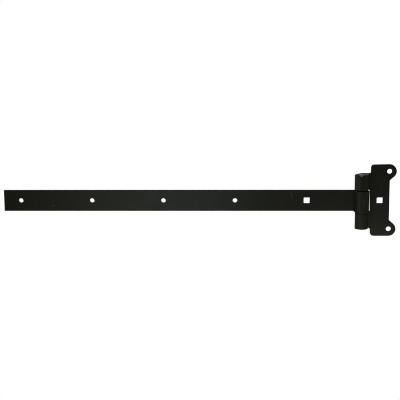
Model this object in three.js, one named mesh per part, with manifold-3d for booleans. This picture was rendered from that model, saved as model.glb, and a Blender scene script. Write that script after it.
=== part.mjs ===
// Heavy strap hinge for a door: a long strap that swings on a pin held by a tall, eared jamb plate.
// Millimetres, +Z up along the pin, +Y into the door and its jamb, +X from the strap to the plate.
// The origin is the centre of the plate's square bolt hole, on the back face that meets the jamb.
import * as THREE from "three";
import { mergeVertices } from "three/addons/utils/BufferGeometryUtils.js";
import Module from "manifold-3d";

// Both leaves are bent from the same flat steel.
const STEEL = 4.75;
const ROUND_STEPS = 28;

// Pin and the knuckles rolled around it
const PIN_RADIUS = 6;
const PIN_END_CHAMFER = 1;
const PIN_RECESS = 0.3;
const RUNNING_GAP = 0.3;
const BORE_RADIUS = PIN_RADIUS + RUNNING_GAP;
const BARREL_RADIUS = BORE_RADIUS + STEEL;
const BARREL_HEIGHT = 92;
const LIP_GAP = 0.35;
// How far the bar runs on past the pin before each roll begins, which leaves the rolls a little oval
const EYE_LEAD = 1.3;
const TOP_KNUCKLE_LEAD = 1.2;
const BOTTOM_KNUCKLE_LEAD = 0;
// The V mark in the top rim: its point from the pin's axis, its two sides and its depth
const STAKE_X = -0.8;
const STAKE_LEFT = 7.5;
const STAKE_RIGHT = 3.2;
const STAKE_DEPTH = 6;

// Strap leaf, measured from the pin's axis
const STRAP_REACH = 599.6;
const STRAP_WIDTH = 35.5;
const STRAP_HOLE_PITCH = 120;
const STRAP_ROUND_HOLES = 4;
const STRAP_ROUND_HOLE_DIAMETER = 7.5;
const PIN_TO_STRAP_BOLT = 91;
const EYE_TOP = 17.9;
const EYE_BOTTOM = -19.9;
const FLARE_RADIUS = 3;
const FLARE_START = 14.2;

// Jamb plate, measured from the pin's axis
const PIN_TO_JAMB_BOLT = 30.7;
const PLATE_NEAR_EDGE = 15.4;
const SLOT_TOP = 18.8;
const SLOT_BOTTOM = -20.1;
const SLOT_TOP_EDGE = 13.65;
const SLOT_BOTTOM_EDGE = 14.35;
const SLOT_CORNER = 3;
const PLATE_FAR_EDGE = 46.7;
const PLATE_HEIGHT = 121;
const TOP_CORNER_RADIUS = 5;
const BOTTOM_CORNER_RADIUS = 6;
const TOP_SHOULDER_RADIUS = 2.5;
const BOTTOM_SHOULDER_RADIUS = 4;
const BOTTOM_ROOT_DROP = 0.7;
const EAR_CENTRE = 46.2;
const EAR_RADIUS = 11.8;
const EAR_HOLE_DIAMETER = 8.5;
const EAR_SWEEP = THREE.MathUtils.degToRad(50);
const UPPER_EAR_RISE = 0.5;
const UPPER_NECK_RADIUS = 2.2;
const LOWER_NECK_RADIUS = 4;

// Square holes for the square necks of carriage bolts, one in each leaf
const BOLT_SQUARE = 10;
const BOLT_SQUARE_CORNER = 1;

// Cutting solids run past the faces that they cut.
const OVERRUN = 1;

const wasm = await Module();
wasm.setup();

// A closed geometry as a manifold-3d solid.
function toSolid(geometry) {
  const bare = geometry.clone();
  bare.deleteAttribute("normal");
  bare.deleteAttribute("uv");
  const merged = mergeVertices(bare, 1e-4);
  return new wasm.Manifold(
    new wasm.Mesh({
      numProp: 3,
      vertProperties: new Float32Array(merged.attributes.position.array),
      triVerts: new Uint32Array(merged.index.array),
    }),
  );
}

// A solid as a named, flat-shaded mesh.
function toMesh(solid, name, material) {
  const { vertProperties, triVerts } = solid.getMesh();
  const geometry = new THREE.BufferGeometry();
  geometry.setAttribute("position", new THREE.BufferAttribute(vertProperties, 3));
  geometry.setIndex(new THREE.BufferAttribute(triVerts, 1));
  const mesh = new THREE.Mesh(geometry.toNonIndexed(), material);
  mesh.geometry.computeVertexNormals();
  mesh.name = name;
  return mesh;
}

// Extrudes an outline drawn in X and Z through the whole depth of the hinge, along Y.
function throughCut(outline) {
  const depth = 2 * BARREL_RADIUS + 2 * OVERRUN;
  const geometry = new THREE.ExtrudeGeometry(outline, {
    depth,
    bevelEnabled: false,
    curveSegments: ROUND_STEPS / 2,
  });
  geometry.rotateX(Math.PI / 2);
  geometry.translate(0, OVERRUN, 0);
  return toSolid(geometry);
}

// Flat bar that reaches from the pin to +X with its back on Y = 0. It runs on behind the pin by lead,
// then is rolled round the pin's far side and over its front, to a lip that all but touches the bar.
function rolledBar(reach, lead, bottom, top) {
  const lipAngle = Math.asin((BARREL_RADIUS - STEEL - LIP_GAP) / BARREL_RADIUS);
  const half = Math.PI / 2;
  const axisY = -BARREL_RADIUS;
  const lipEnd = 2 * Math.PI + lipAngle;
  const profile = new THREE.Shape();
  profile.moveTo(reach, 0);
  profile.lineTo(-lead, 0);
  profile.absarc(-lead, axisY, BARREL_RADIUS, half, 3 * half, false);
  profile.absarc(0, axisY, BARREL_RADIUS, 3 * half, lipEnd, false);
  profile.absarc(0, axisY, BORE_RADIUS, lipEnd, 3 * half, true);
  profile.absarc(-lead, axisY, BORE_RADIUS, 3 * half, half, true);
  profile.lineTo(reach, -STEEL);
  profile.closePath();
  const geometry = new THREE.ExtrudeGeometry(profile, {
    depth: top - bottom,
    bevelEnabled: false,
    curveSegments: ROUND_STEPS / 2,
  });
  geometry.translate(0, 0, bottom);
  return geometry;
}

function roundHole(x, z, diameter) {
  return new THREE.Path().absarc(x, z, diameter / 2, 0, 2 * Math.PI, false);
}

function squareHole(x, z) {
  const half = BOLT_SQUARE / 2;
  const inner = half - BOLT_SQUARE_CORNER;
  const hole = new THREE.Path();
  const corners = [
    [1, 1],
    [-1, 1],
    [-1, -1],
    [1, -1],
  ];
  for (const [turn, [sx, sz]] of corners.entries()) {
    const start = (turn * Math.PI) / 2;
    hole.absarc(x + sx * inner, z + sz * inner, BOLT_SQUARE_CORNER, start, start + Math.PI / 2, false);
  }
  return hole.closePath();
}

// Strap outline. The bar swells a little where it is rolled into the eye, more below than above.
function strapOutline() {
  const half = STRAP_WIDTH / 2;
  const eyeSide = BARREL_RADIUS + EYE_LEAD + OVERRUN;
  const topTurn = Math.asin((half + FLARE_RADIUS - EYE_TOP) / FLARE_RADIUS);
  const bottomTurn = Math.asin((half + FLARE_RADIUS + EYE_BOTTOM) / FLARE_RADIUS);
  const outline = new THREE.Shape();
  outline.moveTo(-STRAP_REACH, half);
  outline.lineTo(-STRAP_REACH, -half);
  outline.absarc(-FLARE_START, -half - FLARE_RADIUS, FLARE_RADIUS, Math.PI / 2, bottomTurn, true);
  outline.lineTo(eyeSide, EYE_BOTTOM);
  outline.lineTo(eyeSide, EYE_TOP);
  outline.absarc(-FLARE_START, half + FLARE_RADIUS, FLARE_RADIUS, -topTurn, -Math.PI / 2, true);
  outline.closePath();
  outline.holes.push(squareHole(-PIN_TO_STRAP_BOLT, 0));
  for (let i = 1; i <= STRAP_ROUND_HOLES; i++) {
    const x = -PIN_TO_STRAP_BOLT - i * STRAP_HOLE_PITCH;
    outline.holes.push(roundHole(x, 0, STRAP_ROUND_HOLE_DIAMETER));
  }
  return outline;
}

// Height of a neck's centre below its ear's centre, where the two arcs touch.
function neckDrop(neckRadius) {
  const across = PLATE_FAR_EDGE + neckRadius - EAR_CENTRE;
  return (EAR_RADIUS + neckRadius - across * Math.cos(EAR_SWEEP)) / Math.sin(EAR_SWEEP);
}

// Plate outline, clockwise from the near bottom corner: two knuckle blocks with the eye's slot
// between them on the near side, and an ear at the top and bottom of the far side.
function plateOutline() {
  const half = PLATE_HEIGHT / 2;
  const barrelHalf = BARREL_HEIGHT / 2;
  const barrelSide = -BARREL_RADIUS - TOP_KNUCKLE_LEAD - OVERRUN;
  const quarter = Math.PI / 2;
  const upperEarZ = half - EAR_RADIUS + UPPER_EAR_RISE;
  const lowerEarZ = -half + EAR_RADIUS;
  const topShoulderX = PLATE_NEAR_EDGE - TOP_SHOULDER_RADIUS;
  const topShoulderZ = barrelHalf + TOP_SHOULDER_RADIUS;
  const bottomShoulderX = PLATE_NEAR_EDGE - BOTTOM_SHOULDER_RADIUS;
  const bottomShoulderZ = -barrelHalf - BOTTOM_ROOT_DROP - BOTTOM_SHOULDER_RADIUS;
  const slotTopX = SLOT_TOP_EDGE - SLOT_CORNER;
  const slotBottomX = SLOT_BOTTOM_EDGE - SLOT_CORNER;
  const topCornerX = PLATE_NEAR_EDGE + TOP_CORNER_RADIUS;
  const bottomCornerX = PLATE_NEAR_EDGE + BOTTOM_CORNER_RADIUS;
  const bottomCornerZ = BOTTOM_CORNER_RADIUS - half;
  const upperNeckX = PLATE_FAR_EDGE + UPPER_NECK_RADIUS;
  const upperNeckZ = upperEarZ - neckDrop(UPPER_NECK_RADIUS);
  const lowerNeckX = PLATE_FAR_EDGE + LOWER_NECK_RADIUS;
  const lowerNeckZ = lowerEarZ + neckDrop(LOWER_NECK_RADIUS);
  const outline = new THREE.Shape();
  outline.absarc(bottomShoulderX, bottomShoulderZ, BOTTOM_SHOULDER_RADIUS, 0, quarter, false);
  outline.lineTo(0, -barrelHalf);
  outline.lineTo(barrelSide, -barrelHalf);
  outline.lineTo(barrelSide, SLOT_BOTTOM);
  outline.absarc(slotBottomX, SLOT_BOTTOM + SLOT_CORNER, SLOT_CORNER, -quarter, 0, false);
  outline.absarc(slotTopX, SLOT_TOP - SLOT_CORNER, SLOT_CORNER, 0, quarter, false);
  outline.lineTo(barrelSide, SLOT_TOP);
  outline.lineTo(barrelSide, barrelHalf);
  outline.absarc(topShoulderX, topShoulderZ, TOP_SHOULDER_RADIUS, -quarter, 0, false);
  outline.absarc(topCornerX, half - TOP_CORNER_RADIUS, TOP_CORNER_RADIUS, Math.PI, quarter, true);
  outline.absarc(EAR_CENTRE, upperEarZ, EAR_RADIUS, quarter, -EAR_SWEEP, true);
  outline.absarc(upperNeckX, upperNeckZ, UPPER_NECK_RADIUS, Math.PI - EAR_SWEEP, Math.PI, false);
  outline.absarc(lowerNeckX, lowerNeckZ, LOWER_NECK_RADIUS, Math.PI, Math.PI + EAR_SWEEP, false);
  outline.absarc(EAR_CENTRE, lowerEarZ, EAR_RADIUS, EAR_SWEEP, -quarter, true);
  outline.absarc(bottomCornerX, bottomCornerZ, BOTTOM_CORNER_RADIUS, -quarter, -Math.PI, true);
  outline.closePath();
  outline.holes.push(squareHole(PIN_TO_JAMB_BOLT, 0));
  outline.holes.push(roundHole(EAR_CENTRE, upperEarZ, EAR_HOLE_DIAMETER));
  outline.holes.push(roundHole(EAR_CENTRE, lowerEarZ, EAR_HOLE_DIAMETER));
  return outline;
}

// V-shaped cut in the front rim of the top knuckle, where the pin is staked.
function stakeCut() {
  const rim = BARREL_HEIGHT / 2;
  const vee = new THREE.Shape();
  vee.moveTo(STAKE_X, rim - STAKE_DEPTH);
  vee.lineTo(STAKE_X + STAKE_RIGHT, rim);
  vee.lineTo(STAKE_X + STAKE_RIGHT, rim + OVERRUN);
  vee.lineTo(STAKE_X - STAKE_LEFT, rim + OVERRUN);
  vee.lineTo(STAKE_X - STAKE_LEFT, rim);
  vee.closePath();
  const geometry = new THREE.ExtrudeGeometry(vee, {
    depth: BARREL_RADIUS + OVERRUN,
    bevelEnabled: false,
  });
  geometry.rotateX(Math.PI / 2);
  geometry.translate(0, -BARREL_RADIUS, 0);
  return toSolid(geometry);
}

function pinGeometry() {
  const half = BARREL_HEIGHT / 2 - PIN_RECESS;
  const profile = [
    new THREE.Vector2(0, -half),
    new THREE.Vector2(PIN_RADIUS - PIN_END_CHAMFER, -half),
    new THREE.Vector2(PIN_RADIUS, -half + PIN_END_CHAMFER),
    new THREE.Vector2(PIN_RADIUS, half - PIN_END_CHAMFER),
    new THREE.Vector2(PIN_RADIUS - PIN_END_CHAMFER, half),
    new THREE.Vector2(0, half),
  ];
  const geometry = new THREE.LatheGeometry(profile, 2 * ROUND_STEPS);
  geometry.rotateX(Math.PI / 2);
  return geometry;
}

const blackCoat = new THREE.MeshStandardMaterial({ color: 0x23241e, roughness: 0.5, metalness: 0.15 });
const zinc = new THREE.MeshStandardMaterial({ color: 0xa9b3b0, roughness: 0.35, metalness: 0.9 });

// The strap is rolled the other way round from the plate.
const strapBar = toSolid(rolledBar(STRAP_REACH + OVERRUN, EYE_LEAD, EYE_BOTTOM, EYE_TOP));
const strapBody = strapBar.mirror([1, 0, 0]).intersect(throughCut(strapOutline()));
const strapLeaf = toMesh(strapBody, "strap_leaf", blackCoat);

const plateReach = EAR_CENTRE + EAR_RADIUS + OVERRUN;
const lowerPlate = toSolid(rolledBar(plateReach, BOTTOM_KNUCKLE_LEAD, -PLATE_HEIGHT / 2, 0));
const upperPlate = toSolid(
  rolledBar(plateReach, TOP_KNUCKLE_LEAD, 0, PLATE_HEIGHT / 2 + UPPER_EAR_RISE),
);
const plateBody = lowerPlate.add(upperPlate).intersect(throughCut(plateOutline()));
const jambPlate = toMesh(plateBody.subtract(stakeCut()), "jamb_plate", blackCoat);

const hingePin = toMesh(toSolid(pinGeometry()), "hinge_pin", zinc);
hingePin.position.set(0, -BARREL_RADIUS, 0);

// The pieces above are measured from the pin; the hinge is measured from the plate's bolt hole.
const hinge = new THREE.Group();
hinge.add(strapLeaf, jambPlate, hingePin);
hinge.position.x = -PIN_TO_JAMB_BOLT;

const group = new THREE.Group();
group.add(hinge);

export default group;
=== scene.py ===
import math

import bmesh
import bpy
from bpy.props import FloatProperty, FloatVectorProperty, IntProperty, PointerProperty
from mathutils import Matrix, Vector, noise


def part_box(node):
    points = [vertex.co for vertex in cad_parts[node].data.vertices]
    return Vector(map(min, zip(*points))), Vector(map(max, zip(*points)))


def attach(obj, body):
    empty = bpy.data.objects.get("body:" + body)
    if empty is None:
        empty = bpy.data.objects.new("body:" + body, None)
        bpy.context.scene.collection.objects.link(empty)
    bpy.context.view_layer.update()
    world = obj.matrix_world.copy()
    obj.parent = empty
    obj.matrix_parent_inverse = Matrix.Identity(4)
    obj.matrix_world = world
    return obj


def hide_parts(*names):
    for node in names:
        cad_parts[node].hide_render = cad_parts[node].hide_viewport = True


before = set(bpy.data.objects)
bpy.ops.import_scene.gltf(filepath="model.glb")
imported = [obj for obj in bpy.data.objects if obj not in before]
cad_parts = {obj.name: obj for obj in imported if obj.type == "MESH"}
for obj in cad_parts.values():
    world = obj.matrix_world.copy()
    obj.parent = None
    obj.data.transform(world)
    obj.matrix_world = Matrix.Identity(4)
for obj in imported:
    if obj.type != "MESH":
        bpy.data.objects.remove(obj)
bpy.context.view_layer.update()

bl_info = {
    "name": "Heavy strap hinge",
    "version": (1, 0, 0),
    "blender": (4, 5, 0),
    "location": "3D View > Sidebar > Hinge",
    "description": "Makes a heavy T-shaped door hinge: a drilled strap, an eared jamb plate and their pin",
    "category": "Object",
}

# Metres, +Z up along the pin, +Y into the door, +X from the strap to the plate.
MM = 0.001
STRAP_LOW, STRAP_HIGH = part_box("strap_leaf")
PLATE_LOW, PLATE_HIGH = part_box("jamb_plate")
PIN_LOW, PIN_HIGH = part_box("hinge_pin")
PIN_X = (PIN_LOW.x + PIN_HIGH.x) / 2
PIN_Y = (PIN_LOW.y + PIN_HIGH.y) / 2
BARREL_RADIUS = -PIN_Y
PIN_RECESS = 0.3 * MM  # how far the pin's ends lie inside the barrel's
BARREL_HALF = PIN_HIGH.z + PIN_RECESS

# Sizes that no setting changes
SMALL_CORNER = 0.8 * MM  # radius of the corners at the ends of the bar and the tongues
SQUARE_CORNER = 1.0 * MM  # radius in the corners of a square hole
CROSS_CUT = 17 * MM  # distance between the cuts that keep the strap's faces short
WANDER = 6 * MM  # length over which an uneven edge changes
EAR_SWEEP = 50.0  # degrees round an ear from its outermost point to its neck

# The camera stands in front, a little above and to the right of the strap's middle.
CAMERA_FROM_PIN = Vector((-211.925, -1979.15, 384.149)) * MM
CAMERA_PITCH = math.radians(10.977)
CAMERA_YAW = math.radians(-1.672)
CAMERA_ROLL = math.radians(0.333)
LENS_MM = 108.0
SENSOR_MM = 36.0


# ---------------------------------------------------------------- settings


def length(name, description, default_mm):
    return FloatProperty(
        name=name, description=description, default=default_mm * MM, min=0.0, precision=5,
        subtype="DISTANCE", unit="LENGTH",
    )


def colour(name, description, default):
    return FloatVectorProperty(
        name=name, description=description, default=default, size=3, min=0.0, max=1.0, subtype="COLOR",
    )


def watts(name, description, default):
    return FloatProperty(name=name, description=description, default=default, unit="POWER")


class HingeSteelSettings(bpy.types.PropertyGroup):
    """What both leaves share"""
    thickness: length("Thickness", "Thickness of the flat steel of both leaves", 4.75)
    edge: length("Edge rounding", "Radius of the sheared and tumbled edges", 0.7)
    lip_gap: length("Lip gap", "Gap between the end of a roll and the flat bar", 0.4)
    draw_in: length("Draw-in", "How far rolling draws in the outside of the upper joint's two rims", 0.5)
    bolt_square: length("Bolt square", "Side of the square holes for carriage bolts", 10.0)
    coat: colour("Coat", "Colour of the black coat", (0.0118, 0.0128, 0.0078))
    bare: colour("Bare steel", "Colour of the steel where the coat is worn off", (0.23, 0.21, 0.17))
    zinc: colour("Zinc", "Colour of the plated pin", (0.26, 0.30, 0.28))


class HingeStrapSettings(bpy.types.PropertyGroup):
    """The long leaf on the door"""
    width: length("Width", "Width of the bar", 35.5)
    lead: length("Eye lead", "How far the bar runs on past the pin before it is rolled", 1.3)
    bolt: length("Bolt place", "Distance from the pin to the square hole", 91.0)
    hole_count: IntProperty(name="Screw holes", description="Round holes along the strap", default=4, min=0)
    hole_pitch: length("Hole pitch", "Distance from one round hole to the next", 120.0)
    hole_diameter: length("Hole diameter", "Diameter of the round holes", 7.5)
    flare_start: length("Flare start", "Distance from the pin to where the bar begins to swell", 14.2)
    flare_radius: length("Flare radius", "Radius of the swell beside the eye", 3.0)


class HingePlateSettings(bpy.types.PropertyGroup):
    """The short, tall leaf on the jamb"""
    top_lead: length("Top lead", "How far the top tongue runs on past the pin before it is rolled", 1.2)
    bottom_lead: length("Bottom lead", "The same for the bottom tongue", 0.0)
    near_edge: length("Near edge", "Distance from the pin to the plate's near edge", 15.4)
    slot_top: length("Slot top", "Height of the slot's top above the middle of the plate", 18.8)
    slot_bottom: length("Slot bottom", "Depth of the slot's bottom below the middle of the plate", 20.1)
    slot_top_edge: length("Slot top edge", "Distance from the pin to the slot's top edge", 13.65)
    slot_bottom_edge: length("Slot bottom edge", "Distance from the pin to the slot's bottom edge", 14.35)
    far_edge: length("Far edge", "Distance from the pin to the plate's far edge", 46.7)
    top_corner: length("Top corner radius", "Radius of the plate's near corner at the top", 5.0)
    bottom_corner: length("Bottom corner radius", "Radius of the plate's near corner at the bottom", 6.0)
    top_shoulder: length("Top shoulder radius", "Radius where the top knuckle starts", 2.5)
    bottom_shoulder: length("Bottom shoulder radius", "Radius where the bottom knuckle starts", 4.0)
    root_drop: length("Root drop", "How much lower the bottom knuckle is at its root", 0.7)
    slot_corner: length("Slot corner", "Radius of the slot's two inner corners", 3.0)
    ear_centre: length("Ear centre", "Distance from the pin to the centres of the ears", 46.2)
    ear_radius: length("Ear radius", "Radius of the ears", 11.8)
    ear_hole: length("Ear hole", "Diameter of the holes in the ears", 8.5)
    ear_rise: length("Ear rise", "How much higher the upper ear is than the corner beside it", 0.5)
    upper_neck: length("Upper neck radius", "Radius between the upper ear and the far edge", 2.2)
    lower_neck: length("Lower neck radius", "Radius between the lower ear and the far edge", 4.0)
    stake_place: length("Stake place", "How far the point of the V mark is from the pin's axis", 0.8)
    stake_left: length("Stake left", "Width of the V mark on the strap's side of its point", 7.5)
    stake_right: length("Stake right", "Width of the V mark on the plate's side of its point", 3.2)
    stake_depth: length("Stake depth", "Depth of the V mark in the top rim", 6.0)


class HingeStageSettings(bpy.types.PropertyGroup):
    """Floor and light"""
    floor: FloatProperty(
        name="Floor height", description="Height of the floor", default=-0.30,
        subtype="DISTANCE", unit="LENGTH",
    )
    key: watts("Key light", "Power of the large soft light", 2.0)
    low: watts("Low light", "Power of the light below the plate", 0.075)
    sheen: watts("Sheen light", "Power of the strap's light", 0.20)


def settings():
    scene = bpy.context.scene
    return scene.hinge_steel, scene.hinge_strap, scene.hinge_plate


# ---------------------------------------------------------------- node helpers


def add(tree, kind, inputs=None, **values):
    """Adds a node, sets its values, and links or fills its inputs."""
    made = tree.nodes.new(kind)
    made.location = (200 * (len(tree.nodes) % 12), -260 * (len(tree.nodes) // 12))
    for key, value in values.items():
        setattr(made, key, value)
    for key, value in (inputs or {}).items():
        if isinstance(value, bpy.types.NodeSocket):
            tree.links.new(value, made.inputs[key])
        else:
            made.inputs[key].default_value = value
    return made


def maths(tree, operation, first, second=0.0, third=0.0, clamp=False):
    return add(
        tree, "ShaderNodeMath", {0: first, 1: second, 2: third}, operation=operation, use_clamp=clamp,
    ).outputs[0]


def group_tree(name, kind, inputs, outputs):
    """A node group with named sockets, and its input and output nodes."""
    tree = bpy.data.node_groups.new(name, kind)
    for label, socket, default in inputs:
        made = tree.interface.new_socket(name=label, in_out="INPUT", socket_type=socket)
        if default is not None:
            made.default_value = default
    for label, socket in outputs:
        tree.interface.new_socket(name=label, in_out="OUTPUT", socket_type=socket)
    return tree, add(tree, "NodeGroupInput").outputs, add(tree, "NodeGroupOutput").inputs


def set_modifier_inputs(modifier, values):
    """Sets a geometry nodes modifier's inputs, found by name, through their identifiers."""
    for item in modifier.node_group.interface.items_tree:
        if item.in_out == "INPUT" and item.name in values:
            modifier[item.identifier] = values[item.name]


# ---------------------------------------------------------------- rolled leaf tree


def rolled_leaf_tree():
    """Drills a row of round holes in a flat blank, then rolls its tongues round the pin."""
    name = "Rolled leaf"
    if name in bpy.data.node_groups:
        return bpy.data.node_groups[name]
    tree, given, out = group_tree(name, "GeometryNodeTree", [
        ("Blank", "NodeSocketGeometry", None),
        ("Hole count", "NodeSocketInt", 0),
        ("First hole", "NodeSocketVector", None),
        ("Hole step", "NodeSocketVector", None),
        ("Hole diameter", "NodeSocketFloat", 0.0075),
        ("Thickness", "NodeSocketFloat", 0.00475),
        ("Edge", "NodeSocketFloat", 0.0007),
        ("Outer radius", "NodeSocketFloat", 0.011),
        ("Lead", "NodeSocketFloat", 0.0),
        ("Low lead", "NodeSocketFloat", 0.0),
        ("Side", "NodeSocketFloat", 1.0),
        ("Pin", "NodeSocketVector", None),
        ("Coat", "NodeSocketMaterial", None),
    ], [("Leaf", "NodeSocketGeometry")])

    # One drill: a cylinder, longer than the steel is thick, that widens in a small round at both faces.
    overshoot = 0.4 * MM
    reach = maths(tree, "ADD", given["Thickness"], overshoot)
    drill = add(tree, "GeometryNodeMeshCylinder", {
        "Vertices": 48, "Side Segments": 26, "Depth": reach,
        "Radius": maths(tree, "MULTIPLY", given["Hole diameter"], 0.5),
    })
    place = add(tree, "GeometryNodeInputPosition").outputs[0]
    split = add(tree, "ShaderNodeSeparateXYZ", {0: place}).outputs
    half = maths(tree, "MULTIPLY", given["Thickness"], 0.5)
    mouth = maths(tree, "SUBTRACT", half, given["Edge"])
    into = maths(tree, "MAXIMUM", maths(tree, "SUBTRACT", maths(tree, "ABSOLUTE", split["Z"]), mouth), 0.0)
    into = maths(tree, "MINIMUM", into, given["Edge"])
    edge_square = maths(tree, "POWER", given["Edge"], 2.0)
    drop = maths(tree, "SUBTRACT", edge_square, maths(tree, "POWER", into, 2.0))
    flare = maths(tree, "SUBTRACT", given["Edge"], maths(tree, "SQRT", drop))
    radial = add(tree, "ShaderNodeCombineXYZ", {"X": split["X"], "Y": split["Y"]}).outputs[0]
    radial = add(tree, "ShaderNodeVectorMath", {0: radial}, operation="NORMALIZE").outputs[0]
    radial = add(tree, "ShaderNodeVectorMath", {0: radial, "Scale": flare}, operation="SCALE").outputs[0]
    drill = add(tree, "GeometryNodeSetPosition", {"Geometry": drill.outputs["Mesh"], "Offset": radial})
    row = add(tree, "GeometryNodeMeshLine", {
        "Count": given["Hole count"], "Start Location": given["First hole"], "Offset": given["Hole step"],
    }, mode="OFFSET")
    drills = add(tree, "GeometryNodeInstanceOnPoints", {
        "Points": row.outputs["Mesh"],
        "Instance": drill.outputs["Geometry"],
        "Rotation": (math.pi / 2, 0, 0),
    })
    drills = add(tree, "GeometryNodeRealizeInstances", {"Geometry": drills.outputs["Instances"]})
    drilled = add(tree, "GeometryNodeMeshBoolean", {
        "Mesh 1": given["Blank"],
    }, operation="DIFFERENCE", solver="MANIFOLD")
    tree.links.new(drills.outputs["Geometry"], drilled.inputs["Mesh 2"])

    # The rim value is 1 halfway round an edge, about half on a cut face and 0 on the rolled faces.
    split = add(tree, "ShaderNodeSeparateXYZ", {0: place}).outputs
    depth = maths(tree, "MULTIPLY", split["Y"], -1.0)
    inset = maths(tree, "MINIMUM", depth, maths(tree, "SUBTRACT", given["Thickness"], depth))
    share = maths(tree, "DIVIDE", inset, given["Edge"])
    rise = maths(tree, "MINIMUM", maths(tree, "MULTIPLY", share, 3.4), 1.0)
    fall = maths(tree, "MULTIPLY", maths(tree, "SUBTRACT", share, 0.3, clamp=True), 0.75)
    rim = maths(tree, "SUBTRACT", rise, maths(tree, "MINIMUM", fall, 0.55), clamp=True)
    marked = add(tree, "GeometryNodeStoreNamedAttribute", {
        "Geometry": drilled.outputs["Mesh"], "Name": "rim", "Value": rim,
    }, data_type="FLOAT", domain="POINT")

    # Distance along the blank becomes: flat bar, half a turn, a short flat in front, and the lip's turn.
    is_low = maths(tree, "LESS_THAN", split["Z"], 0.0)
    lead_step = maths(tree, "SUBTRACT", given["Low lead"], given["Lead"])
    lead = maths(tree, "MULTIPLY_ADD", is_low, lead_step, given["Lead"])
    radius = given["Outer radius"]
    along = maths(tree, "MULTIPLY", split["X"], given["Side"])
    past = maths(tree, "MULTIPLY", maths(tree, "ADD", along, lead), -1.0)
    half_turn = maths(tree, "MULTIPLY", radius, math.pi)
    first = maths(tree, "MINIMUM", maths(tree, "MAXIMUM", past, 0.0), half_turn)
    beyond = maths(tree, "SUBTRACT", past, half_turn)
    front = maths(tree, "MINIMUM", maths(tree, "MAXIMUM", beyond, 0.0), lead)
    last = maths(tree, "MAXIMUM", maths(tree, "SUBTRACT", beyond, lead), 0.0)
    turn = maths(tree, "DIVIDE", maths(tree, "ADD", first, last), radius)
    tail = maths(tree, "MAXIMUM", maths(tree, "MULTIPLY", past, -1.0), 0.0)
    arm = maths(tree, "SUBTRACT", radius, depth)
    across = maths(tree, "MULTIPLY", arm, maths(tree, "SINE", turn))
    centre = maths(tree, "ADD", maths(tree, "SUBTRACT", front, lead), tail)
    rolled_x = maths(tree, "MULTIPLY", maths(tree, "SUBTRACT", centre, across), given["Side"])
    rolled_y = maths(tree, "SUBTRACT", maths(tree, "MULTIPLY", arm, maths(tree, "COSINE", turn)), radius)
    rolled = add(tree, "ShaderNodeCombineXYZ", {"X": rolled_x, "Y": rolled_y, "Z": split["Z"]}).outputs[0]
    rolled = add(tree, "ShaderNodeVectorMath", {0: rolled, 1: given["Pin"]}, operation="ADD").outputs[0]
    shaped = add(tree, "GeometryNodeSetPosition", {
        "Geometry": marked.outputs["Geometry"], "Position": rolled,
    })
    smooth = add(tree, "GeometryNodeSetShadeSmooth", {"Geometry": shaped.outputs["Geometry"]})
    whole = add(tree, "GeometryNodeRealizeInstances", {"Geometry": smooth.outputs["Geometry"]})
    coated = add(tree, "GeometryNodeSetMaterial", {
        "Geometry": whole.outputs["Geometry"], "Material": given["Coat"],
    })
    tree.links.new(coated.outputs["Geometry"], out["Leaf"])
    return tree


# ---------------------------------------------------------------- blanks


def arc(x, z, radius, start, end, steps=12):
    """Points on an arc in the plane of a blank, from one angle to the other, in degrees."""
    first = math.radians(start)
    turn = math.radians(end - start) / steps
    return [
        (x + radius * math.cos(first + i * turn), z + radius * math.sin(first + i * turn))
        for i in range(steps + 1)
    ]


def square_hole(x, side):
    """The outline of a square hole with rounded corners, x from the pin's axis."""
    inner = side / 2 - SQUARE_CORNER
    points = []
    for start, (sx, sz) in zip((0, 90, 180, 270), ((1, 1), (-1, 1), (-1, -1), (1, -1))):
        points += arc(x + sx * inner, sz * inner, SQUARE_CORNER, start, start + 90, 5)
    return points


def roll_length(steel, lead):
    """Length of the tongue past the place where its roll starts."""
    lip = math.asin((BARREL_RADIUS - steel.thickness - steel.lip_gap) / BARREL_RADIUS)
    return (1.5 * math.pi + lip) * BARREL_RADIUS + lead


def flat_blank(name, outlines, steel):
    """A flat blank with rounded edges and its back on Y = 0, as a bmesh."""
    curve = bpy.data.curves.new(name, "CURVE")
    curve.dimensions = "2D"
    curve.fill_mode = "BOTH"
    curve.extrude = steel.thickness / 2 - steel.edge
    curve.bevel_depth = steel.edge
    curve.bevel_resolution = 3
    curve.offset = -steel.edge
    for points in outlines:
        spline = curve.splines.new("POLY")
        spline.points.add(len(points) - 1)
        for point, (x, z) in zip(spline.points, points):
            point.co = (x, z, 0.0, 1.0)
        spline.use_cyclic_u = True
    drawn = bpy.data.objects.new(name, curve)
    bpy.context.scene.collection.objects.link(drawn)
    mesh = bpy.data.meshes.new_from_object(drawn.evaluated_get(bpy.context.evaluated_depsgraph_get()))
    bpy.data.objects.remove(drawn)
    mesh.transform(Matrix.Translation((0, -steel.thickness / 2, 0)) @ Matrix.Rotation(math.pi / 2, 4, "X"))
    blank = bmesh.new()
    blank.from_mesh(mesh)
    bpy.data.meshes.remove(mesh)
    bmesh.ops.remove_doubles(blank, verts=blank.verts, dist=0.002 * MM)
    bmesh.ops.recalc_face_normals(blank, faces=blank.faces)
    return blank


def cut_across(blank, places):
    """Cuts a blank along planes of constant X."""
    for place in places:
        everything = blank.verts[:] + blank.edges[:] + blank.faces[:]
        bmesh.ops.bisect_plane(
            blank, geom=everything, dist=1e-7, plane_co=(place, 0, 0), plane_no=(1, 0, 0),
        )


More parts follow.
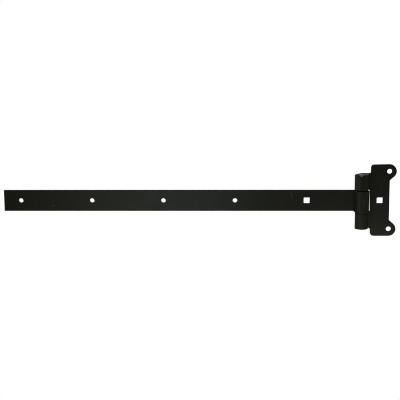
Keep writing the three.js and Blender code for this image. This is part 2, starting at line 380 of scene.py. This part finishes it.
def divide_tongue(blank, side, starts, ends, steps=76):
    """Cuts the tongues across into even strips that are one face wide, so that they roll smoothly."""
    start, end = min(starts), min(ends)
    stride = (end - start) / steps
    cuts = [start + i * stride for i in range(-2, steps + 1)]
    cut_across(blank, [-side * cut for cut in cuts])
    strips = {}
    for face in blank.faces:
        middle = face.calc_center_median()
        along = -side * middle.x
        if abs(face.normal.y) > 0.999 and along > cuts[0]:
            strip = int((along - cuts[0]) / stride)
            strips.setdefault((strip, face.normal.y > 0, side > 0 and middle.z > 0), []).append(face)
    for faces in strips.values():
        if len(faces) > 1:
            bmesh.ops.dissolve_faces(blank, faces=faces)


def uneven(value, seed, size):
    """A small smooth wander, for edges that a shear and a hammer left."""
    return size * noise.noise(Vector((value / WANDER, seed, 0.37)))


def frontness(along, lead):
    """1 on the front of a roll, falling to 0 at its sides."""
    turn = (along - lead) / BARREL_RADIUS
    share = min(max(1.25 - abs(turn - math.pi) / (0.4 * math.pi), 0.0), 1.0)
    return share * share * (3 - 2 * share)


def finish_leaf(name, blank, coat, body, values):
    """Rolls a blank with the geometry nodes tree and gives the finished piece to its body."""
    mesh = bpy.data.meshes.new(name)
    blank.to_mesh(mesh)
    blank.free()
    source = bpy.data.objects.new(name + "_blank", mesh)
    bpy.context.scene.collection.objects.link(source)
    modifier = source.modifiers.new("Rolled leaf", "NODES")
    modifier.node_group = rolled_leaf_tree()
    set_modifier_inputs(modifier, dict(values, Coat=coat))
    weighted = source.modifiers.new("Weighted normals", "WEIGHTED_NORMAL")
    weighted.mode = "FACE_AREA"
    weighted.weight = 60
    graph = bpy.context.evaluated_depsgraph_get()
    made = bpy.data.meshes.new_from_object(source.evaluated_get(graph), depsgraph=graph)
    bpy.data.objects.remove(source)
    made.name = name
    piece = bpy.data.objects.new(name, made)
    bpy.context.scene.collection.objects.link(piece)
    if not made.polygons:
        raise RuntimeError(name + " came out empty")
    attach(piece, body)
    return piece


# ---------------------------------------------------------------- strap


class HINGE_OT_strap(bpy.types.Operator):
    """Make the long strap with its rolled eye and its row of holes"""
    bl_idname = "hinge.strap"
    bl_label = "Strap"

    def execute(self, context):
        steel, strap, _ = settings()
        half = strap.width / 2
        reach = PIN_X - STRAP_LOW.x
        top, bottom = STRAP_HIGH.z, STRAP_LOW.z
        end = -strap.lead - roll_length(steel, strap.lead)
        flare = strap.flare_radius
        top_turn = math.degrees(math.asin((half + flare - top) / flare))
        bottom_turn = math.degrees(math.asin((half + flare + bottom) / flare))
        corner = SMALL_CORNER
        outline = arc(reach - corner, half - corner, corner, 0, 90, 4)
        outline += arc(strap.flare_start, half + flare, flare, -90, -180 + top_turn, 6)
        outline += arc(end + corner, top - corner, corner, 90, 180, 4)
        outline += arc(end + corner, bottom + corner, corner, 180, 270, 4)
        outline += arc(strap.flare_start, -half - flare, flare, 180 - bottom_turn, 90, 6)
        outline += arc(reach - corner, -half + corner, corner, -90, 0, 4)
        outlines = [outline, square_hole(strap.bolt, steel.bolt_square)]
        mirrored = [[(-x, z) for x, z in points] for points in outlines]
        blank = flat_blank("strap_leaf_blank", mirrored, steel)
        divide_tongue(blank, -1.0, [strap.lead], [-end])
        cut_across(blank, [-i * CROSS_CUT for i in range(1, int(reach / CROSS_CUT) + 1)])
        self.draw_in_ends(blank, steel, strap)
        piece = finish_leaf("strap_with_eye", blank, black_coat(), "door_side", {
            "Hole count": strap.hole_count,
            "First hole": (-strap.bolt - strap.hole_pitch, -steel.thickness / 2, 0.0),
            "Hole step": (-strap.hole_pitch, 0.0, 0.0),
            "Hole diameter": strap.hole_diameter,
            "Thickness": steel.thickness,
            "Edge": steel.edge,
            "Outer radius": BARREL_RADIUS,
            "Lead": strap.lead,
            "Low lead": strap.lead,
            "Side": -1.0,
            "Pin": (PIN_X, 0.0, 0.0),
        })
        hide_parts("strap_leaf")
        return {"FINISHED"}

    def draw_in_ends(self, blank, steel, strap):
        """Rolling draws in the outside of the eye's ends, and leaves the lower one a little uneven."""
        band, ramp_length = 1.2 * MM, 8 * MM
        low_draw, low_ripple, low_inset = 0.15 * MM, 0.06 * MM, 0.03 * MM
        for vert in blank.verts:
            along = vert.co.x
            if along < 0:
                continue
            outside = 1 + vert.co.y / steel.thickness
            front = frontness(along, strap.lead)
            ramp = min(along / ramp_length, 1.0)
            if vert.co.z > STRAP_HIGH.z - band:
                vert.co.z -= front * outside * steel.draw_in
            elif vert.co.z < STRAP_LOW.z + band:
                vert.co.z += ramp * (outside * low_draw + uneven(along, 3.1, low_ripple)) + low_inset


# ---------------------------------------------------------------- jamb plate


class HINGE_OT_plate(bpy.types.Operator):
    """Make the eared jamb plate with its two rolled knuckles"""
    bl_idname = "hinge.plate"
    bl_label = "Jamb plate"

    def execute(self, context):
        steel, _, plate = settings()
        top, bottom = PLATE_HIGH.z - plate.ear_rise, PLATE_LOW.z
        top_end = -plate.top_lead - roll_length(steel, plate.top_lead)
        low_end = -plate.bottom_lead - roll_length(steel, plate.bottom_lead)
        upper_ear = PLATE_HIGH.z - plate.ear_radius
        lower_ear = bottom + plate.ear_radius
        sweep = EAR_SWEEP
        small = SMALL_CORNER
        inner = plate.slot_corner
        upper_x, upper_drop = self.neck(plate, plate.upper_neck, sweep)
        lower_x, lower_drop = self.neck(plate, plate.lower_neck, sweep)
        shoulder = plate.bottom_shoulder
        shoulder_z = -BARREL_HALF - plate.root_drop - shoulder
        outline = arc(plate.near_edge - shoulder, shoulder_z, shoulder, 0, 90, 8)
        outline += [(0.0, -BARREL_HALF)]
        outline += arc(low_end + small, -BARREL_HALF + small, small, 270, 180, 4)
        outline += arc(low_end + small, -plate.slot_bottom - small, small, 180, 90, 4)
        outline += arc(plate.slot_bottom_edge - inner, -plate.slot_bottom + inner, inner, -90, 0, 8)
        outline += arc(plate.slot_top_edge - inner, plate.slot_top - inner, inner, 0, 90, 8)
        outline += arc(top_end + small, plate.slot_top + small, small, 270, 180, 4)
        outline += arc(top_end + small, BARREL_HALF - small, small, 180, 90, 4)
        point = self.unrolled(-plate.stake_place, plate.top_lead)
        blunt = 0.3 * MM
        outline += [
            (self.unrolled(plate.stake_right - plate.stake_place, plate.top_lead), BARREL_HALF),
            (point - blunt, BARREL_HALF - plate.stake_depth),
            (point + blunt, BARREL_HALF - plate.stake_depth),
            (self.unrolled(-plate.stake_left - plate.stake_place, plate.top_lead), BARREL_HALF),
        ]
        shoulder = plate.top_shoulder
        outline += arc(plate.near_edge - shoulder, BARREL_HALF + shoulder, shoulder, -90, 0, 6)
        corner = plate.top_corner
        outline += arc(plate.near_edge + corner, top - corner, corner, 180, 90, 10)
        outline += arc(plate.ear_centre, upper_ear, plate.ear_radius, 90, -sweep, 28)
        outline += arc(upper_x, upper_ear - upper_drop, plate.upper_neck, 180 - sweep, 180, 8)
        outline += arc(lower_x, lower_ear + lower_drop, plate.lower_neck, 180, 180 + sweep, 8)
        outline += arc(plate.ear_centre, lower_ear, plate.ear_radius, sweep, -90, 28)
        corner = plate.bottom_corner
        outline += arc(plate.near_edge + corner, bottom + corner, corner, -90, -180, 10)
        blank = flat_blank("jamb_plate_blank", [outline, square_hole(-PIN_X, steel.bolt_square)], steel)
        divide_tongue(blank, 1.0, [plate.top_lead, plate.bottom_lead], [-top_end, -low_end])
        self.hammer_rims(blank, steel, plate)
        piece = finish_leaf("eared_plate", blank, black_coat(), "jamb_side", {
            "Hole count": 2,
            "First hole": (plate.ear_centre, -steel.thickness / 2, lower_ear),
            "Hole step": (0.0, 0.0, upper_ear - lower_ear),
            "Hole diameter": plate.ear_hole,
            "Thickness": steel.thickness,
            "Edge": steel.edge,
            "Outer radius": BARREL_RADIUS,
            "Lead": plate.top_lead,
            "Low lead": plate.bottom_lead,
            "Side": 1.0,
            "Pin": (PIN_X, 0.0, 0.0),
        })
        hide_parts("jamb_plate")
        return {"FINISHED"}

    def neck(self, plate, radius, sweep):
        """Centre of the arc between an ear and the far edge: its X, and its distance in Z from the ear's."""
        x = plate.far_edge + radius
        across = (x - plate.ear_centre) * math.cos(math.radians(sweep))
        return x, (plate.ear_radius + radius - across) / math.sin(math.radians(sweep))

    def unrolled(self, x, lead):
        """Where a point on the front of a knuckle, x from the pin's axis, lies on the flat blank."""
        if x < -lead:
            past = BARREL_RADIUS * (math.pi - math.asin((-x - lead) / BARREL_RADIUS))
        elif x < 0:
            past = math.pi * BARREL_RADIUS + lead + x
        else:
            past = BARREL_RADIUS * (math.pi + math.asin(x / BARREL_RADIUS)) + lead
        return -lead - past

    def hammer_rims(self, blank, steel, plate):
        """Leaves the barrel's ends uneven, the top one lowest on the strap's side, and draws in a rim.

        The rim that is drawn in is the lower one of the top knuckle.
        """
        band = 1.0 * MM
        ripple, sink = 0.16 * MM, 0.35 * MM
        dip, dip_place, dip_width = 1.0 * MM, -12 * MM, 7 * MM
        for vert in blank.verts:
            x, z = vert.co.x, vert.co.z
            if x >= 0:
                continue
            if abs(z) > BARREL_HALF - band:
                vert.co.z += uneven(x, 1.7, ripple) - sink
                if z > 0:
                    vert.co.z -= dip * math.exp(-((x - dip_place) / dip_width) ** 2)
            elif abs(z - plate.slot_top) < band:
                front = frontness(-x, plate.top_lead)
                vert.co.z += front * (1 + vert.co.y / steel.thickness) * steel.draw_in


# ---------------------------------------------------------------- pin


class HINGE_OT_pin(bpy.types.Operator):
    """Make the plated pin with its two peened ends"""
    bl_idname = "hinge.pin"
    bl_label = "Pin"

    def execute(self, context):
        _, _, plate = settings()
        radius = (PIN_HIGH.x - PIN_LOW.x) / 2
        high = PIN_HIGH.z
        # Rings of the rounded end: radius as a share of the pin's, and depth below its top in mm
        end_rings = [
            (0.0, 0.0), (0.16, 0.0), (0.32, 0.02), (0.48, 0.05), (0.62, 0.10), (0.74, 0.18), (0.83, 0.28),
            (0.90, 0.42), (0.955, 0.62), (0.985, 0.88), (1.0, 1.25),
        ]
        # Depths in mm of the rings below it, close together where the V mark is
        walls = [1.6, 1.9, 2.2, 2.5, 2.8, 3.1, 3.4, 3.8, 4.2, 4.6, 5.0, 5.4, 5.8, 6.4, 12.0]
        rings = [(r * radius, high - d * MM) for r, d in end_rings]
        rings += [(radius, high - d * MM) for d in walls]
        rings += [(r, -z) for r, z in reversed(rings)]
        steps = 120
        dent_size = 2.2 * MM
        dent_swing, dent_sink = 0.12, 0.10
        shape = bmesh.new()
        loops = []
        for index, (ring_radius, z) in enumerate(rings):
            if ring_radius == 0.0:
                loops.append([shape.verts.new((0, 0, z))])
                continue
            loop = []
            for step in range(steps):
                angle = 2 * math.pi * step / steps
                spot = Vector((ring_radius * math.cos(angle), ring_radius * math.sin(angle), z))
                if index < len(end_rings) and index > 0:
                    dent = noise.noise(Vector((spot.x, spot.y, 0.0)) / dent_size)
                    spot.z += min(dent_swing * dent - dent_sink, 0.0) * MM
                loop.append(shape.verts.new(self.staked(spot, radius, high, plate)))
            loops.append(loop)
        for upper, lower in zip(loops, loops[1:]):
            for step in range(steps):
                after = (step + 1) % steps
                if len(upper) == 1:
                    shape.faces.new((upper[0], lower[step], lower[after]))
                elif len(lower) == 1:
                    shape.faces.new((upper[step], lower[0], upper[after]))
                else:
                    shape.faces.new((upper[step], lower[step], lower[after], upper[after]))
        bmesh.ops.recalc_face_normals(shape, faces=shape.faces)
        for face in shape.faces:
            face.smooth = True
        bmesh.ops.translate(shape, verts=shape.verts, vec=(PIN_X, PIN_Y, 0))
        mesh = bpy.data.meshes.new("plated_pin")
        shape.to_mesh(mesh)
        shape.free()
        mesh.materials.append(zinc_plate())
        piece = bpy.data.objects.new("plated_pin", mesh)
        context.scene.collection.objects.link(piece)
        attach(piece, "jamb_side")
        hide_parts("hinge_pin")
        return {"FINISHED"}

    def staked(self, spot, radius, high, plate):
        """A chisel drove the front of the pin's top end out into the V mark."""
        core = 0.6
        lift, below_surface, side_round = 0.5 * MM, 0.5 * MM, 0.9 * MM
        reach = math.hypot(spot.x, spot.y)
        open_share = 1 - (high - spot.z + lift) / plate.stake_depth
        if spot.y >= 0 or open_share <= 0 or reach < core * radius:
            return spot
        wall = BARREL_RADIUS - below_surface
        across = spot.x / reach * wall
        left = -plate.stake_place - plate.stake_left * open_share
        right = -plate.stake_place + plate.stake_right * open_share
        share = min(max(min(across - left, right - across) / side_round, 0.0), 1.0)
        share = share * share * (3 - 2 * share)
        grown = 1 + (wall - radius) / radius * share * ((reach / radius - core) / (1 - core))
        return Vector((spot.x * grown, spot.y * grown, spot.z))


# ---------------------------------------------------------------- materials


def mottle_group():
    """Uneven coat: broad blotches, rolling streaks along the bar, and a fine orange peel."""
    name = "Coat mottle"
    if name in bpy.data.node_groups:
        return bpy.data.node_groups[name]
    tree, given, out = group_tree(name, "ShaderNodeTree", [
        ("Position", "NodeSocketVector", None),
        ("Blotch size", "NodeSocketFloat", 0.018),
        ("Peel size", "NodeSocketFloat", 0.0011),
    ], [("Tone", "NodeSocketFloat"), ("Grain", "NodeSocketFloat"), ("Height", "NodeSocketFloat")])

    def cloud(size, detail, roughness=0.5, stretch=None):
        place = given["Position"]
        if stretch:
            place = add(
                tree, "ShaderNodeVectorMath", {0: place, 1: stretch}, operation="MULTIPLY",
            ).outputs[0]
        scale = maths(tree, "DIVIDE", 1.0, size)
        return add(tree, "ShaderNodeTexNoise", {
            "Vector": place, "Scale": scale, "Detail": detail, "Roughness": roughness,
        }).outputs["Fac"]

    blotch = cloud(given["Blotch size"], 4.0)
    streak = cloud(maths(tree, "MULTIPLY", given["Blotch size"], 0.12), 2.0, stretch=(0.06, 1.0, 1.0))
    tone = maths(tree, "MULTIPLY_ADD", streak, 0.35, maths(tree, "MULTIPLY", blotch, 0.65))
    grain = cloud(maths(tree, "MULTIPLY", given["Peel size"], 1.8), 5.0, 0.7)
    peel = cloud(given["Peel size"], 2.0)
    height = maths(tree, "MULTIPLY_ADD", grain, 0.6, peel)
    tree.links.new(tone, out["Tone"])
    tree.links.new(grain, out["Grain"])
    tree.links.new(height, out["Height"])
    return tree


def wear_group():
    """Edge wear: where the rim value and a ragged noise together pass a limit."""
    name = "Edge wear"
    if name in bpy.data.node_groups:
        return bpy.data.node_groups[name]
    tree, given, out = group_tree(name, "ShaderNodeTree", [
        ("Position", "NodeSocketVector", None),
        ("Rim", "NodeSocketFloat", 0.0),
        ("Amount", "NodeSocketFloat", 0.5),
        ("Size", "NodeSocketFloat", 0.004),
    ], [("Mask", "NodeSocketFloat")])
    ragged = add(tree, "ShaderNodeTexNoise", {
        "Vector": given["Position"], "Scale": maths(tree, "DIVIDE", 1.0, given["Size"]),
        "Detail": 6.0, "Roughness": 0.65,
    }).outputs["Fac"]
    ragged = maths(tree, "MULTIPLY", ragged, 0.9)
    worn = maths(tree, "ADD", maths(tree, "MULTIPLY", given["Rim"], 0.5), ragged)
    limit = maths(tree, "SUBTRACT", 1.25, maths(tree, "MULTIPLY", given["Amount"], 0.5))
    mask = maths(tree, "MULTIPLY", maths(tree, "SUBTRACT", worn, limit), 9.0, clamp=True)
    tree.links.new(mask, out["Mask"])
    return tree


def chip_and_highlight_group():
    """One small ragged chip, scuff or painted highlight at a place on the surface."""
    name = "Chip"
    if name in bpy.data.node_groups:
        return bpy.data.node_groups[name]
    tree, given, out = group_tree(name, "ShaderNodeTree", [
        ("Position", "NodeSocketVector", None),
        ("Place", "NodeSocketVector", None),
        ("Size", "NodeSocketVector", None),
        ("Strength", "NodeSocketFloat", 1.0),
        ("Before", "NodeSocketFloat", 0.0),
    ], [("Mask", "NodeSocketFloat")])
    away = add(
        tree, "ShaderNodeVectorMath", {0: given["Position"], 1: given["Place"]}, operation="SUBTRACT",
    )
    away = add(tree, "ShaderNodeVectorMath", {0: away.outputs[0], 1: given["Size"]}, operation="DIVIDE")
    far = add(tree, "ShaderNodeVectorMath", {0: away.outputs[0]}, operation="LENGTH").outputs["Value"]
    ragged = add(tree, "ShaderNodeTexNoise", {
        "Vector": given["Position"], "Scale": 900.0, "Detail": 4.0, "Roughness": 0.7,
    }).outputs["Fac"]
    edge = maths(tree, "MULTIPLY_ADD", ragged, 1.6, maths(tree, "SUBTRACT", 0.35, far))
    mask = maths(tree, "MULTIPLY", edge, 2.5, clamp=True)
    mask = maths(tree, "MULTIPLY", mask, given["Strength"])
    tree.links.new(maths(tree, "MAXIMUM", mask, given["Before"]), out["Mask"])
    return tree


# Places of chips and scuffs, and of one painted highlight along the eye's lower rim, in mm from the pin's
# axis, their half sizes in mm, and their strength
CHIPS_AND_RIM_HIGHLIGHT = [
    ((-546.5, -4.8, -8.1), (0.9, 2.0, 0.7), 0.35),
    ((-517.0, -4.8, -8.8), (2.2, 2.0, 0.9), 0.45),
    ((-496.0, -4.8, -5.5), (0.8, 2.0, 0.8), 0.30),
    ((-520.5, -4.8, 2.0), (0.8, 2.0, 0.6), 0.25),
    ((-387.7, -4.8, -8.0), (0.8, 2.0, 0.6), 0.28),
    ((-117.4, -4.8, 12.0), (0.9, 2.0, 1.1), 0.75),
    ((-115.5, -4.8, 6.0), (1.0, 2.0, 4.5), 0.22),
    ((-451.5, -2.0, 17.4), (2.2, 3.0, 0.7), 0.40),
    ((-401.0, -2.0, 17.4), (1.6, 3.0, 0.7), 0.35),
    ((1.5, -22.0, 2.0), (0.8, 2.0, 4.5), 0.20),
    # A faint light line along the eye's lower rim: painted highlight, and worn coat at that ridge, laid on
    # as bare steel
    ((2.0, -20.0, -17.6), (8.5, 4.0, 0.75), 0.09),
    ((3.0, -22.0, -2.5), (1.0, 2.0, 1.2), 0.28),
    ((8.2, -9.0, 45.6), (2.6, 5.0, 0.9), 0.40),
    ((31.6, -4.8, 21.0), (1.6, 2.0, 0.8), 0.35),
    ((32.6, -4.8, 27.5), (0.7, 2.0, 1.5), 0.22),
    ((33.4, -4.8, 35.5), (0.7, 2.0, 2.0), 0.18),
    ((31.8, -4.8, 44.0), (0.9, 2.0, 0.7), 0.22),
]


def place_group(tree, group, inputs):
    """Places a shader node group in a material with its own values."""
    return add(tree, "ShaderNodeGroup", inputs, node_tree=group).outputs


def mix_colour(tree, share, first, second):
    made = add(tree, "ShaderNodeMix", {0: share}, data_type="RGBA")
    for socket, value in ((made.inputs[6], first), (made.inputs[7], second)):
        if isinstance(value, bpy.types.NodeSocket):
            tree.links.new(value, socket)
        else:
            socket.default_value = (*value, 1.0)
    return made.outputs[2]


def new_material(name):
    material = bpy.data.materials.new(name)
    material.use_nodes = True
    tree = material.node_tree
    tree.nodes.clear()
    surface = add(tree, "ShaderNodeOutputMaterial")
    shader = add(tree, "ShaderNodeBsdfPrincipled")
    tree.links.new(shader.outputs[0], surface.inputs["Surface"])
    position = add(tree, "ShaderNodeTexCoord").outputs["Object"]
    return material, tree, shader, position


def black_coat():
    """Satin black coat on hot-rolled steel, a little green, worn at its edges and chipped, with a faint
    painted highlight along the eye's lower rim.
    """
    name = "Black coat"
    if name in bpy.data.materials:
        return bpy.data.materials[name]
    steel = bpy.context.scene.hinge_steel
    material, tree, shader, position = new_material(name)
    mottle = place_group(tree, mottle_group(), {"Position": position})
    rim = add(tree, "ShaderNodeAttribute", attribute_name="rim").outputs["Fac"]
    worn = place_group(tree, wear_group(), {"Position": position, "Rim": rim, "Amount": 0.35})["Mask"]
    chips_and_highlight = 0.0
    for spot, size, strength in CHIPS_AND_RIM_HIGHLIGHT:
        chips_and_highlight = place_group(tree, chip_and_highlight_group(), {
            "Position": position,
            "Place": Vector(spot) * MM + Vector((PIN_X, 0, 0)),
            "Size": Vector(size) * MM,
            "Strength": strength,
            "Before": chips_and_highlight,
        })["Mask"]
    dark = [c * 0.72 for c in steel.coat]
    light = [c * 1.35 for c in steel.coat]
    coat = mix_colour(tree, mottle["Tone"], dark, light)
    dust = maths(tree, "MULTIPLY", maths(tree, "SUBTRACT", mottle["Grain"], 0.56, clamp=True), 0.35)
    coat = mix_colour(tree, dust, coat, (0.10, 0.10, 0.085))
    edge_share = 0.14
    # Bare steel at worn edges and chips, which also carries the faint painted highlight along the eye's
    # lower rim
    bare = maths(tree, "MAXIMUM", maths(tree, "MULTIPLY", worn, edge_share), chips_and_highlight)
    paint = mix_colour(tree, bare, coat, steel.bare)
    tree.links.new(paint, shader.inputs["Base Color"])
    rough = maths(tree, "MULTIPLY_ADD", mottle["Tone"], 0.18, 0.36)
    rough = maths(tree, "MULTIPLY_ADD", mottle["Grain"], 0.08, rough)
    tree.links.new(rough, shader.inputs["Roughness"])
    tree.links.new(maths(tree, "MULTIPLY", bare, 0.5), shader.inputs["Metallic"])
    low = maths(tree, "MULTIPLY_ADD", bare, -1.5, mottle["Height"])
    bump = add(tree, "ShaderNodeBump", {"Height": low, "Strength": 0.22, "Distance": 0.06 * MM})
    tree.links.new(bump.outputs[0], shader.inputs["Normal"])
    shader.inputs["Specular IOR Level"].default_value = 0.45
    return material


def zinc_plate():
    """Dull, slightly rough zinc at the pin's ends; further in, the pin is as dark as the coat: painted shade
    where it shows through the joints' gaps.
    """
    name = "Zinc"
    if name in bpy.data.materials:
        return bpy.data.materials[name]
    steel = bpy.context.scene.hinge_steel
    material, tree, shader, position = new_material(name)
    mottle = place_group(tree, mottle_group(), {
        "Position": position, "Blotch size": 0.004, "Peel size": 0.0009,
    })
    dark = [c * 0.35 for c in steel.zinc]
    plated = mix_colour(tree, mottle["Tone"], dark, [c * 1.3 for c in steel.zinc])
    height = add(tree, "ShaderNodeSeparateXYZ", {0: position}).outputs["Z"]
    # Painted shade: deeper than this from the barrel's ends, where the pin shows only in the joints' gaps
    # and the bore, it takes the coat's colour
    unshaded_depth = 6.5 * MM
    from_end = maths(tree, "SUBTRACT", BARREL_HALF - unshaded_depth, maths(tree, "ABSOLUTE", height))
    # 1 where the pin is painted in shade, which also takes its metal sheen away
    coated = maths(tree, "MULTIPLY", from_end, 900.0, clamp=True)
    tree.links.new(mix_colour(tree, coated, plated, steel.coat), shader.inputs["Base Color"])
    tree.links.new(maths(tree, "MULTIPLY_ADD", mottle["Grain"], 0.25, 0.34), shader.inputs["Roughness"])
    bump = add(tree, "ShaderNodeBump", {"Height": mottle["Height"], "Strength": 0.4, "Distance": 0.12 * MM})
    tree.links.new(bump.outputs[0], shader.inputs["Normal"])
    tree.links.new(maths(tree, "MULTIPLY_ADD", coated, -0.7, 0.7), shader.inputs["Metallic"])
    return material


# ---------------------------------------------------------------- stage


def emitting(tree, strength, tone=(1.0, 1.0, 1.0)):
    return add(tree, "ShaderNodeEmission", {"Color": (*tone, 1.0), "Strength": strength}).outputs[0]


def pale_floor():
    """A pale floor that reads as paper white and throws a soft, dim light upwards."""
    material = bpy.data.materials.new("Pale floor")
    material.use_nodes = True
    tree = material.node_tree
    tree.nodes.clear()
    seen = add(tree, "ShaderNodeLightPath").outputs["Is Camera Ray"]
    glow = emitting(tree, 0.075, (1.0, 1.02, 0.86))
    mixed = add(tree, "ShaderNodeMixShader", {0: seen, 1: glow, 2: emitting(tree, 1.0)})
    add(tree, "ShaderNodeOutputMaterial", {"Surface": mixed.outputs[0]})
    return material


def studio_world():
    """Paper white to the eye; to the steel, dim in front, bright behind, cool left and warm right."""
    world = bpy.data.worlds.new("Studio")
    world.use_nodes = True
    tree = world.node_tree
    tree.nodes.clear()
    towards = add(tree, "ShaderNodeTexCoord").outputs["Generated"]
    split = add(tree, "ShaderNodeSeparateXYZ", {0: towards}).outputs
    left = add(tree, "ShaderNodeMapRange", {0: split["X"], 1: -0.35, 2: -0.85, 3: 0.0, 4: 1.0}).outputs[0]
    aside = add(tree, "ShaderNodeMapRange", {0: split["Y"], 1: -0.75, 2: 0.2, 3: 0.1, 4: 1.0}).outputs[0]
    left = maths(tree, "MULTIPLY", left, aside)
    right = add(tree, "ShaderNodeMapRange", {0: split["X"], 1: 0.45, 2: 0.95, 3: 0.0, 4: 1.0}).outputs[0]
    behind = add(tree, "ShaderNodeMapRange", {0: split["Y"], 1: -0.1, 2: 0.6, 3: 0.0, 4: 1.0}).outputs[0]
    above = add(tree, "ShaderNodeMapRange", {0: split["Z"], 1: 0.1, 2: 0.8, 3: 0.0, 4: 1.0}).outputs[0]
    tone = mix_colour(tree, left, (0.042, 0.044, 0.035), (1.25, 1.30, 1.22))
    tone = mix_colour(tree, right, tone, (0.75, 0.50, 0.30))
    tone = mix_colour(tree, above, tone, (0.22, 0.22, 0.20))
    tone = mix_colour(tree, maths(tree, "MULTIPLY", behind, 0.6), tone, (0.55, 0.55, 0.53))
    dim = add(tree, "ShaderNodeBackground", {"Color": tone, "Strength": 1.0})
    white = add(tree, "ShaderNodeBackground", {"Color": (1, 1, 1, 1), "Strength": 1.0})
    seen = add(tree, "ShaderNodeLightPath").outputs["Is Camera Ray"]
    mixed = add(tree, "ShaderNodeMixShader", {0: seen, 1: dim.outputs[0], 2: white.outputs[0]})
    add(tree, "ShaderNodeOutputWorld", {"Surface": mixed.outputs[0]})
    return world


def soft_light(name, place, target, size, power, tone):
    light = bpy.data.lights.new(name, "AREA")
    light.shape = "RECTANGLE"
    light.size, light.size_y = size
    light.energy = power
    light.color = tone
    lamp = bpy.data.objects.new(name, light)
    lamp.location = place
    lamp.rotation_euler = (Vector(target) - Vector(place)).to_track_quat("-Z", "Y").to_euler()
    bpy.context.scene.collection.objects.link(lamp)


class HINGE_OT_stage(bpy.types.Operator):
    """Make the floor, the lights and the camera"""
    bl_idname = "hinge.stage"
    bl_label = "Stage"

    def execute(self, context):
        scene = context.scene
        stage = scene.hinge_stage
        scene.world = studio_world()
        scene.view_settings.view_transform = "Standard"
        scene.cycles.filter_width = 1.0

        mesh = bpy.data.meshes.new("floor")
        reach = 6.0
        corners = [(x * reach, y * reach, stage.floor) for x, y in ((-1, -1), (1, -1), (1, 1), (-1, 1))]
        mesh.from_pydata(corners, [], [(0, 1, 2, 3)])
        mesh.materials.append(pale_floor())
        floor = bpy.data.objects.new("floor", mesh)
        scene.collection.objects.link(floor)

        soft_light("key", (-0.9, -1.3, 1.9), (-0.25, 0, 0), (1.6, 1.2), stage.key, (1.0, 1.0, 0.98))
        soft_light("low", (0.01, -0.20, -0.17), (0.0, 0, -0.06), (0.14, 0.07), stage.low, (1.0, 1.02, 0.9))
        sheen, glint = 0.95 * stage.sheen, 0.34 * stage.sheen
        soft_light("sheen", (-0.41, -0.42, -0.10), (-0.40, 0, 0), (0.32, 0.10), sheen, (1.0, 1.0, 0.92))
        soft_light("glint", (-0.345, -0.45, -0.09), (-0.335, 0, 0), (0.05, 0.08), glint, (0.55, 1.0, 0.88))

        camera = bpy.data.cameras.new("camera")
        camera.lens = LENS_MM
        camera.sensor_width = SENSOR_MM
        camera.clip_end = 50.0
        seat = bpy.data.objects.new("camera", camera)
        seat.matrix_world = self.camera_matrix()
        scene.collection.objects.link(seat)
        scene.camera = seat
        return {"FINISHED"}

    def camera_matrix(self):
        sin_yaw, cos_yaw = math.sin(CAMERA_YAW), math.cos(CAMERA_YAW)
        sin_pitch, cos_pitch = math.sin(CAMERA_PITCH), math.cos(CAMERA_PITCH)
        sin_roll, cos_roll = math.sin(CAMERA_ROLL), math.cos(CAMERA_ROLL)
        ahead = Vector((sin_yaw * cos_pitch, cos_yaw * cos_pitch, -sin_pitch))
        level = Vector((cos_yaw, -sin_yaw, 0.0))
        down = ahead.cross(level)
        right = cos_roll * level + sin_roll * down
        up = sin_roll * level - cos_roll * down
        turn = Matrix((right, up, -ahead)).transposed().to_4x4()
        return Matrix.Translation(CAMERA_FROM_PIN + Vector((PIN_X, 0, 0))) @ turn


# ---------------------------------------------------------------- panel and registration


class HINGE_PT_panel(bpy.types.Panel):
    """Lists the hinge's operators and settings"""
    bl_idname = "HINGE_PT_panel"
    bl_label = "Heavy strap hinge"
    bl_space_type = "VIEW_3D"
    bl_region_type = "UI"
    bl_category = "Hinge"

    def draw(self, context):
        for operator in OPERATORS:
            self.layout.operator(operator.bl_idname)
        for owner in SETTINGS:
            box = self.layout.box()
            values = getattr(context.scene, owner)
            for name in values.bl_rna.properties.keys():
                if name not in ("rna_type", "name"):
                    box.prop(values, name)


OPERATORS = [HINGE_OT_strap, HINGE_OT_plate, HINGE_OT_pin, HINGE_OT_stage]
SETTINGS = {
    "hinge_steel": HingeSteelSettings,
    "hinge_strap": HingeStrapSettings,
    "hinge_plate": HingePlateSettings,
    "hinge_stage": HingeStageSettings,
}


def register():
    for owner, group in SETTINGS.items():
        bpy.utils.register_class(group)
        setattr(bpy.types.Scene, owner, PointerProperty(type=group))
    for operator in OPERATORS:
        bpy.utils.register_class(operator)
    bpy.utils.register_class(HINGE_PT_panel)


def unregister():
    bpy.utils.unregister_class(HINGE_PT_panel)
    for operator in reversed(OPERATORS):
        bpy.utils.unregister_class(operator)
    for owner, group in SETTINGS.items():
        delattr(bpy.types.Scene, owner)
        bpy.utils.unregister_class(group)


def main():
    register()
    bpy.ops.hinge.strap()
    bpy.ops.hinge.plate()
    bpy.ops.hinge.pin()
    bpy.ops.hinge.stage()
    bpy.context.view_layer.update()


if __name__ == "__main__":
    main()
